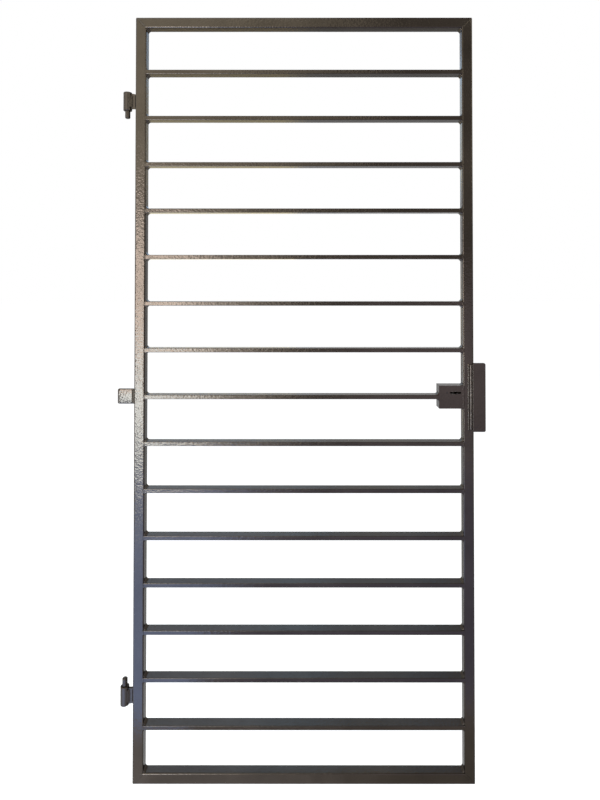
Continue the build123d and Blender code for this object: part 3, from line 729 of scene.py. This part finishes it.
ACROSS_TUBE = 21.0 * MM
lay_beads("bar_weld_beads", fillet_bead, bar_end_seams(),
          length=ACROSS_TUBE, leg_x=6.0 * MM, leg_z=6.0 * MM,
          replaced=("bar_welds_hinge_side", "bar_welds_lock_side"))
lay_beads("bar_face_beads", flush_bead, bar_face_seams(),
          length=10.0 * MM, leg_x=1.9 * MM, leg_z=0.2 * MM,
          root=2.4 * MM, ripple_height=0.1 * MM, end_run=1.5 * MM)
lay_beads("mitre_beads", flush_bead, mitre_seams(),
          length=30.0 * MM, leg_x=2.2 * MM, leg_z=0.45 * MM,
          root=0.8 * MM, ripple_height=0.1 * MM, end_run=3.0 * MM)
lay_beads("corner_weld_beads", fillet_bead, frame_corner_seams(),
          length=ACROSS_TUBE, leg_x=6.0 * MM, leg_z=6.0 * MM, replaced=("corner_welds",))
lay_beads("lock_box_weld_beads", fillet_bead, lock_box_seams(),
          length=ACROSS_TUBE, leg_x=4.0 * MM, leg_z=4.0 * MM, replaced=("lock_box_welds",))
lay_beads("lock_box_face_bead", flush_bead, lock_box_face_seam(),
          length=54.0 * MM, leg_x=2.2 * MM, leg_z=0.12 * MM,
          root=2.4 * MM, ripple_height=0.04 * MM, end_run=2.0 * MM)
lay_beads("security_tab_weld_beads", fillet_bead, security_tab_seams(),
          length=33.0 * MM, leg_x=8.5 * MM, leg_z=6.0 * MM, replaced=("security_tab_welds",),
          hollow=1.05)
lay_beads("guard_plate_weld_bead", fillet_bead, guard_plate_seam(),
          length=155.0 * MM, leg_x=6.0 * MM, leg_z=2.6 * MM, replaced=("guard_plate_weld",),
          hollow=0.66)
lay_beads("guard_plate_toe_bead", flush_bead, guard_plate_toe_seam(),
          length=158.0 * MM, leg_x=1.8 * MM, leg_z=0.75 * MM,
          root=0.8 * MM, ripple_height=0.12 * MM, end_run=3.0 * MM)
for hinge in ("upper", "lower"):
    at_stile, at_barrel, run = hinge_plate_seams(hinge)
    both = [lay_beads(hinge + "_stile_bead", fillet_bead, at_stile,
                      length=run, leg_x=4.0 * MM, leg_z=4.0 * MM, paint=hinge_paint),
            lay_beads(hinge + "_barrel_bead", fillet_bead, at_barrel,
                      length=run, leg_x=4.0 * MM, leg_z=3.8 * MM, lean=0.56, paint=hinge_paint)]
    fit_piece(join_beads(hinge + "_hinge_weld_beads", hinge_paint, *both), LEAF, "bronze_paint",
              hinge + "_hinge_welds")

# Cover screws

SCREW_HEAD = 3.15 * MM


def turned_screw(length):
    """A plain countersunk screw, head face up its own Z at 0."""
    shank, neck, rim, bevel, steps = 1.6 * MM, 1.6 * MM, 0.2 * MM, 0.25 * MM, 24
    profile = [(SCREW_HEAD - bevel, 0.0), (SCREW_HEAD, -rim), (shank, -neck), (shank, -length)]
    body = bmesh.new()
    rings = []
    for radius, level in profile:
        rings.append([body.verts.new((radius * math.cos(2 * math.pi * k / steps),
                                      radius * math.sin(2 * math.pi * k / steps), level))
                      for k in range(steps)])
    body.faces.new(rings[0])
    for upper, lower in zip(rings, rings[1:]):
        for k in range(steps):
            body.faces.new((upper[k], lower[k], lower[(k + 1) % steps], upper[(k + 1) % steps]))
    body.faces.new(reversed(rings[-1]))
    bmesh.ops.recalc_face_normals(body, faces=body.faces)
    return add_object("turned_screw", mesh_of(body, "turned_screw"))


def recess_punch():
    """The punch for a cross recess: a cross that tapers downwards."""
    half_width, reach, depth, above = 0.55 * MM, 1.75 * MM, 1.5 * MM, 0.5 * MM
    flare, taper = 1.15, 0.55
    outline = []
    for quarter in range(4):
        c, s = math.cos(quarter * math.pi / 2), math.sin(quarter * math.pi / 2)
        for along, across in ((reach, -half_width), (reach, half_width), (half_width, half_width)):
            outline.append((along * c - across * s, along * s + across * c))
    body = bmesh.new()
    top = [body.verts.new((x * flare, y * flare, above)) for x, y in outline]
    base = [body.verts.new((x * taper, y * taper, -depth)) for x, y in outline]
    body.faces.new(top)
    body.faces.new(list(reversed(base)))
    for k in range(len(outline)):
        after = (k + 1) % len(outline)
        body.faces.new((top[k], base[k], base[after], top[after]))
    bmesh.ops.recalc_face_normals(body, faces=body.faces)
    return add_object("recess_punch", mesh_of(body, "recess_punch"))


def screw_set_tree():
    """Sets the same screw at every given place, each turned to its own stop."""
    tree = new_geometry_tree("screw_set", [
        ("Screw", "NodeSocketObject", None), ("Seed", "NodeSocketInt", 4),
        ("Plate", "NodeSocketMaterial", None)])
    given = put(tree, "NodeGroupInput").outputs
    screw = put(tree, "GeometryNodeObjectInfo", {"Object": given["Screw"]})
    stop = put(tree, "FunctionNodeRandomValue", {
        "Min": 0.0, "Max": 1.5, "Seed": given["Seed"]}, data_type="FLOAT")
    drawn = [socket for socket in stop.outputs if socket.enabled][0]
    turn = put(tree, "ShaderNodeCombineXYZ", {"X": -math.pi / 2, "Y": drawn})
    spin = put(tree, "FunctionNodeEulerToRotation", {0: turn.outputs[0]})
    screws = put(tree, "GeometryNodeInstanceOnPoints", {
        "Points": given["Geometry"], "Instance": screw.outputs["Geometry"],
        "Rotation": spin.outputs[0]})
    solid = put(tree, "GeometryNodeRealizeInstances", {"Geometry": screws.outputs[0]})
    end_tree(tree, solid.outputs[0], given["Plate"])
    return tree


def make_cover_screws():
    """The three screws of the back cover, with cross recesses."""
    low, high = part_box("cover_screws")
    left, right = low.x + SCREW_HEAD, high.x - SCREW_HEAD
    top, bottom = high.z - SCREW_HEAD, low.z + SCREW_HEAD
    places = bpy.data.meshes.new("screw_places")
    places.from_pydata([(left, high.y, top), (left, high.y, bottom), (right, high.y, top)], [], [])
    punch = recess_punch()
    screw = cut_away(turned_screw(high.y - low.y), punch, "cross_screw")
    bpy.data.objects.remove(punch)
    pattern = add_object("screw_pattern", screw)
    screws = grow("cross_screws", screw_set_tree(), {
        "Screw": pattern, "Seed": 4, "Plate": finish_of_slot["plated_steel"]}, places)
    bpy.data.objects.remove(pattern)
    return fit_piece(screws, LEAF, "plated_steel", "cover_screws")


make_cover_screws()

# Lever spring


def make_spring_comb():
    """A comb with its foot on the lock box's floor and a finger under each lever; the fingers rise
    from the foot towards their tips."""
    foot, tip, thickness = 7.0 * MM, 3.0 * MM, 0.5 * MM
    side_gap, steps = 0.2 * MM, 16
    low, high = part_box("lever_spring")
    root, reach = low.x + foot, high.x - tip
    across = [low.y]
    for number in (1, 2, 3):
        lever_low, lever_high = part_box(f"lever_{number}")
        across += [lever_low.y + side_gap, lever_high.y - side_gap]
    across.append(high.y)
    along = [low.x] + [root + (reach - root) * step / steps for step in range(steps + 1)] + [high.x]
    rise = high.z - low.z - thickness

    def is_steel(i, j):
        """Whether the cell after along[i] and across[j] is part of the foot or of a finger."""
        inside = 0 <= i < len(along) - 1 and 0 <= j < len(across) - 1
        return inside and (i == 0 or j % 2 == 1)

    comb = bmesh.new()
    corners = {}

    def corner(i, j, top):
        if (i, j, top) not in corners:
            share = min(max((along[i] - root) / (reach - root), 0.0), 1.0)
            level = low.z + rise * share + (thickness if top else 0.0)
            corners[i, j, top] = comb.verts.new((along[i], across[j], level))
        return corners[i, j, top]

    for i in range(len(along) - 1):
        for j in range(len(across) - 1):
            if not is_steel(i, j):
                continue
            loop = ((i, j), (i + 1, j), (i + 1, j + 1), (i, j + 1))
            comb.faces.new([corner(*place, True) for place in loop])
            comb.faces.new([corner(*place, False) for place in reversed(loop)])
            beyond = ((i, j - 1), (i + 1, j), (i, j + 1), (i - 1, j))
            for side, cell in enumerate(beyond):
                if not is_steel(*cell):
                    one, two = loop[side], loop[(side + 1) % 4]
                    comb.faces.new([corner(*one, False), corner(*two, False),
                                    corner(*two, True), corner(*one, True)])
    mesh = mesh_of(comb, "spring_comb")
    mesh.materials.append(finish_of_slot["spring_steel"])
    spring = add_object("spring_comb", mesh)
    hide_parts("lever_spring")
    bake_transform(spring)


make_spring_comb()

# Stage, light and camera


def sees_background(tree):
    """1 on a ray that shows the background: from the camera, in a mirror or through glass."""
    path = put(tree, "ShaderNodeLightPath").outputs
    return calc(tree, "MAXIMUM", path["Is Camera Ray"],
                calc(tree, "MAXIMUM", path["Is Glossy Ray"], path["Is Transmission Ray"]))


def white_floor():
    """Pale floor just under the hung leaf; it keeps a soft shadow."""
    half, drop = 30.0, 0.05
    level = cad_low.z - drop
    mesh = bpy.data.meshes.new("floor")
    mesh.from_pydata([(-half, -half, level), (half, -half, level),
                      (half, half, level), (-half, half, level)], [], [(0, 1, 2, 3)])
    floor = add_object("floor", mesh)
    finish = bpy.data.materials.new("floor_white")
    finish.use_nodes = True
    tree = finish.node_tree
    tree.nodes.clear()
    out = put(tree, "ShaderNodeOutputMaterial")
    shade = put(tree, "ShaderNodeBsdfDiffuse", {"Color": (0.30, 0.30, 0.30, 1.0)})
    white = put(tree, "ShaderNodeEmission", {"Color": (1.0, 1.0, 1.0, 1.0), "Strength": 0.92})
    both = put(tree, "ShaderNodeAddShader")
    tree.links.new(shade.outputs[0], both.inputs[0])
    tree.links.new(white.outputs[0], both.inputs[1])
    pick = put(tree, "ShaderNodeMixShader", {"Fac": sees_background(tree)})
    tree.links.new(shade.outputs[0], pick.inputs[1])
    tree.links.new(both.outputs[0], pick.inputs[2])
    tree.links.new(pick.outputs[0], out.inputs["Surface"])
    mesh.materials.append(finish)


def white_surround(fill):
    """White behind the leaf, and an even dim fill for what it lights."""
    world = bpy.data.worlds.new("surround")
    bpy.context.scene.world = world
    world.use_nodes = True
    tree = world.node_tree
    tree.nodes.clear()
    out = put(tree, "ShaderNodeOutputWorld")
    ambient = put(tree, "ShaderNodeBackground", {
        "Color": (1.0, 0.98, 0.96, 1.0), "Strength": fill})
    white = put(tree, "ShaderNodeBackground", {"Color": (1.0, 1.0, 1.0, 1.0), "Strength": 1.0})
    pick = put(tree, "ShaderNodeMixShader", {"Fac": sees_background(tree)})
    tree.links.new(ambient.outputs[0], pick.inputs[1])
    tree.links.new(white.outputs[0], pick.inputs[2])
    tree.links.new(pick.outputs[0], out.inputs["Surface"])


# Daylight's strength and tint, which all lamps share; their own colours come on top of it
DAYLIGHT = (1.25, 1.43, 1.56)

# Where the lamps stand, in metres, and the colours that several of them share
FRONT, BEHIND, PAVING = -2.40, 2.50, -0.255
WINDOW = (-1.05, -0.49)
UPPER_WALL = (1.45, 3.55)
NEAR_PAVING = (-0.22, -0.03)
WINDOW_LIGHT = (1.0, 0.94, 0.92)
LIMEWASH = (1.0, 0.93, 0.76)
PALE_STONE = (0.92, 0.90, 1.0)
STRAW = (1.0, 0.65, 0.05)


def soft_lamp(name, place, aim, size, radiance, colour):
    """A rectangular lamp with an even face; radiance 1 is a white card's brightness."""
    width, height = size
    data = bpy.data.lights.new(name, "AREA")
    data.shape = "RECTANGLE"
    data.size, data.size_y = width, height
    data.energy = radiance * math.pi * width * height
    data.color = [part * gain for part, gain in zip(colour, DAYLIGHT)]
    lamp = add_object(name, data)
    lamp.location = place
    lamp.rotation_mode = "QUATERNION"
    lamp.rotation_quaternion = (Vector(aim) - Vector(place)).to_track_quat("-Z", "Y")
    lamp.visible_camera = False


def facing_lamp(name, depth, across, up, radiance, colour):
    """A lamp that faces the leaf squarely; across and up are its edges in X and in Z."""
    x, z = sum(across) / 2, sum(up) / 2
    size = (across[1] - across[0], up[1] - up[0])
    soft_lamp(name, (x, depth, z), (x, 0.0, z), size, radiance, colour)


def paving_lamp(name, across, inward, radiance, colour):
    """A lamp that lies before the leaf and faces up; across and inward are its edges in X and Y."""
    x, y = sum(across) / 2, sum(inward) / 2
    size = (across[1] - across[0], inward[1] - inward[0])
    soft_lamp(name, (x, y, PAVING), (x, y, PAVING + 1.0), size, radiance, colour)


# Name, depth, edges across, edges up, radiance, colour
FACING_LAMPS = (
    ("window_head_1", FRONT, WINDOW, (1.27, 1.355), 14.0, WINDOW_LIGHT),
    ("window_head_2", FRONT, WINDOW, (1.355, 1.44), 9.0, WINDOW_LIGHT),
    ("window_head_3", FRONT, WINDOW, (1.44, 1.525), 5.5, WINDOW_LIGHT),
    ("window_head_4", FRONT, WINDOW, (1.525, 1.62), 2.5, WINDOW_LIGHT),
    ("window_warm", FRONT, WINDOW, (0.4875, 1.2705), 19.0, (1.0, 0.875, 0.84)),
    ("window_neutral", FRONT, WINDOW, (-0.2505, 0.4865), 26.0, (0.80, 0.90, 1.0)),
    ("window_edge", FRONT, (-0.49, -0.28), (-0.25, 1.20), 13.0, (1.0, 0.95, 0.92)),
    ("pale_wall", FRONT, (-0.49, 0.25), (-0.25, 1.41), 2.4, (1.0, 0.94, 0.90)),
    ("wall_upper_left", FRONT, (-2.20, 0.0), UPPER_WALL, 2.4, LIMEWASH),
    ("wall_upper_middle", FRONT, (0.0, 0.75), UPPER_WALL, 1.25, LIMEWASH),
    ("wall_lower_right", FRONT, (0.60, 2.00), (-0.20, 0.95), 0.6, (1.0, 0.88, 1.30)),
    ("low_behind", BEHIND, (-0.80, 0.30), (0.35, 0.95), 0.8, STRAW),
    ("high_behind", BEHIND, (0.58, 1.08), (1.50, 2.70), 0.45, STRAW))

# Name, edges across, edges inward, radiance, colour
PAVING_LAMPS = (
    ("sky_on_paving", (-0.755, 0.095), (-2.35, -0.22), 4.8, (0.30, 0.48, 1.0)),
    ("sky_on_paving_right", (0.15, 1.65), (-2.30, -0.30), 0.65, (0.05, 0.16, 1.0)),
    ("paving_near_1", (-0.75, 0.04), NEAR_PAVING, 1.4, PALE_STONE),
    ("paving_near_2", (0.04, 0.36), NEAR_PAVING, 0.95, PALE_STONE),
    ("paving_near_3", (0.36, 0.44), NEAR_PAVING, 0.75, PALE_STONE),
    ("paving_near_4", (0.44, 0.52), NEAR_PAVING, 0.45, PALE_STONE),
    ("paving_near_5", (0.52, 0.60), NEAR_PAVING, 0.2, PALE_STONE))

# Name, place, aim, width and height, radiance, colour
AIMED_LAMPS = (
    ("wall_upper_right", (3.00, FRONT, 2.60), (0.0, 0.0, 1.6), (1.3, 2.0), 5.5, LIMEWASH),
    ("wall_far_left", (-2.00, -0.90, 1.10), (0.0, -0.3, 1.10), (2.2, 2.8), 2.4, (1.0, 0.97, 0.93)),
    ("sky_above", (-0.10, -0.90, 2.70), (0.2, 0.0, 0.6), (1.2, 0.8), 4.0, (0.90, 0.95, 1.0)),
    ("sky_behind", (-0.47, BEHIND, 1.925), (-0.30, 0.0, 0.6), (1.0, 0.95), 1.7, (0.55, 0.74, 1.0)),
    ("sky_behind_middle", (0.24, BEHIND, 1.925), (0.30, 0.0, 0.6), (0.42, 0.95), 1.05,
     (0.70, 0.87, 1.0)),
    ("sky_far_behind", (1.0, 8.0, 5.6), (0.4, 0.0, 0.2), (3.2, 2.8), 0.95, (0.12, 0.50, 1.0)))


def photo_camera():
    """The photograph's place: 1.3 m in front of the leaf and 1.2 m above the floor, tilted up by
    under a degree."""
    place, tilt, turn = (0.4579, -1.3125, 0.955), 90.819, 0.033
    lens_px, centre_x_px, centre_y_px = 550.8, 318.8, 272.4
    width_px, height_px, sensor = 600.0, 800.0, 36.0
    data = bpy.data.cameras.new("photo_camera")
    data.sensor_width = sensor
    data.lens = lens_px * sensor / height_px
    data.shift_x = (width_px / 2 - centre_x_px) / height_px
    data.shift_y = (centre_y_px - height_px / 2) / height_px
    camera = add_object("photo_camera", data)
    camera.location = place
    camera.rotation_euler = (math.radians(tilt), 0.0, math.radians(turn))
    bpy.context.scene.camera = camera


white_floor()
white_surround(fill=0.28)
for row in FACING_LAMPS:
    facing_lamp(*row)
for row in PAVING_LAMPS:
    paving_lamp(*row)
for row in AIMED_LAMPS:
    soft_lamp(*row)
photo_camera()
bpy.context.scene.view_settings.view_transform = "Standard"
